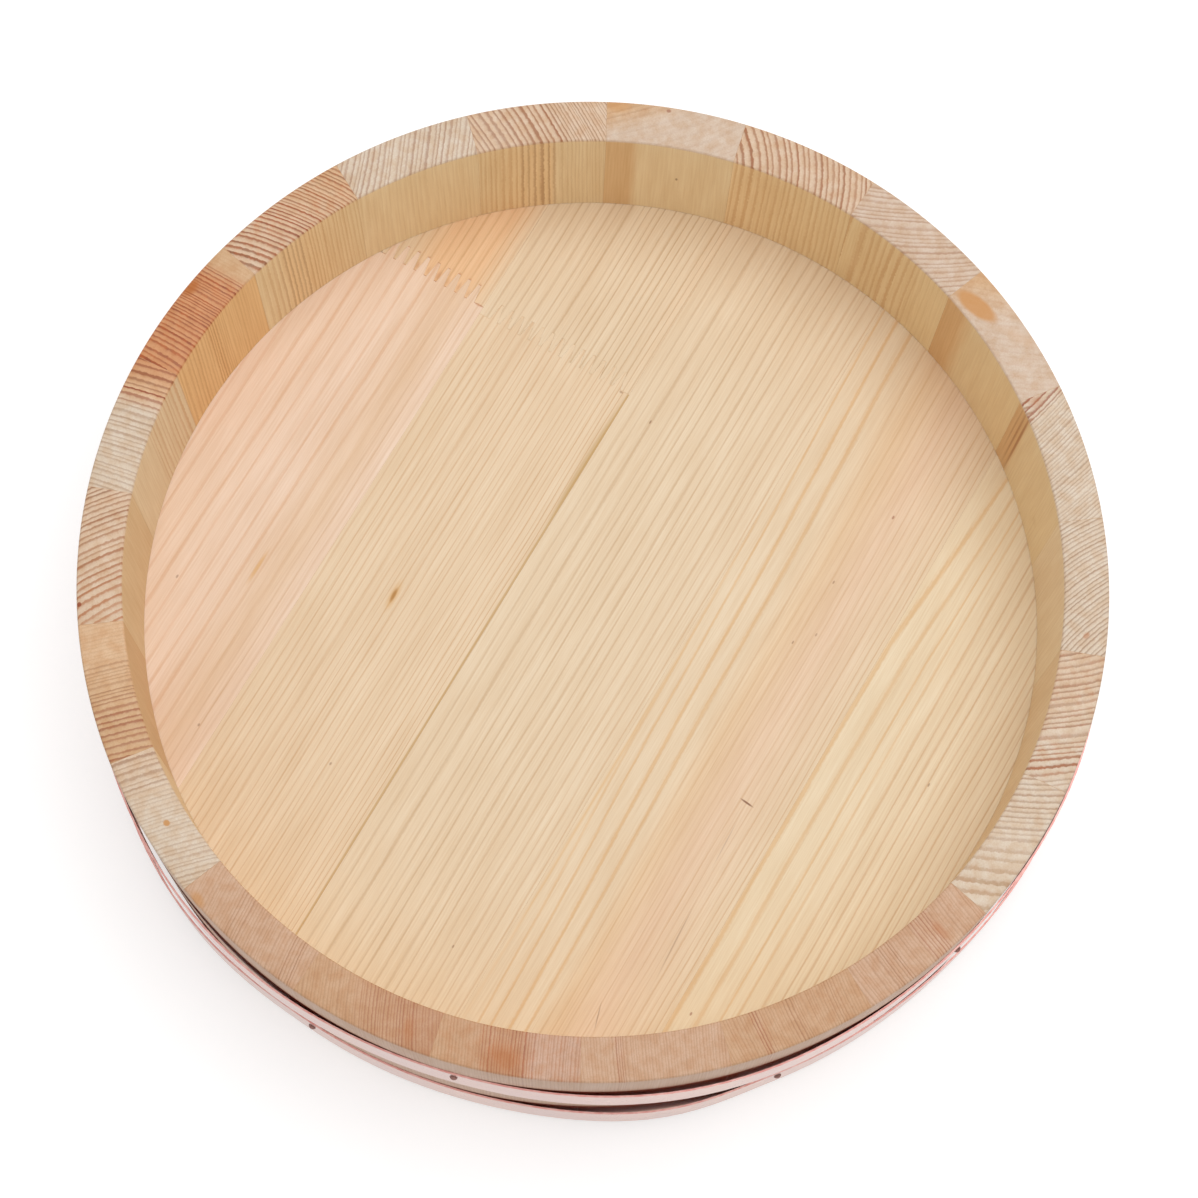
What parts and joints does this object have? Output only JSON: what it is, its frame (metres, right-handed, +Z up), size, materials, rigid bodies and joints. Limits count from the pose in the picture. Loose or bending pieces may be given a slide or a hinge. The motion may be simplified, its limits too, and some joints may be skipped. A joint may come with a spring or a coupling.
{
  "type": "hangiri sushi rice tub",
  "caption": "Round shallow wooden tub of tapered staves with a glued plank floor set in a groove, bound by nailed copper hoops, for cooling and dressing sushi rice.",
  "frame": {"origin": "on the ground at the middle of the foot", "axes": "+Z up along the tub's axis; the side that faces the picture's viewer is -Y"},
  "size_m": [0.3316, 0.331, 0.078],
  "materials": {
    "stave_wood": "planed and sanded, unsealed",
    "floor_wood": "planed and sanded, unsealed",
    "hoop_copper": "polished copper strip",
    "nail_copper": "tarnished copper"
  },
  "bodies": {
    "root": {"stave_01": "stave_wood", "stave_02": "stave_wood", "stave_03": "stave_wood", "stave_04": "stave_wood", "stave_05": "stave_wood", "stave_06": "stave_wood", "stave_07": "stave_wood", "stave_08": "stave_wood", "stave_09": "stave_wood", "stave_10": "stave_wood", "stave_11": "stave_wood", "stave_12": "stave_wood", "stave_13": "stave_wood", "stave_14": "stave_wood", "stave_15": "stave_wood", "stave_16": "stave_wood", "stave_17": "stave_wood", "stave_18": "stave_wood", "stave_19": "stave_wood", "stave_20": "stave_wood", "stave_21": "stave_wood", "stave_22": "stave_wood", "floor_edge_front": "floor_wood", "floor_edge_back": "floor_wood", "floor_second_front": "floor_wood", "floor_second_back": "floor_wood", "floor_middle": "floor_wood", "floor_fourth": "floor_wood", "floor_far_edge": "floor_wood", "upper_hoop": "hoop_copper", "lower_hoop": "hoop_copper", "upper_nails": "nail_copper", "lower_nails": "nail_copper"}
  },
  "joints": []
}
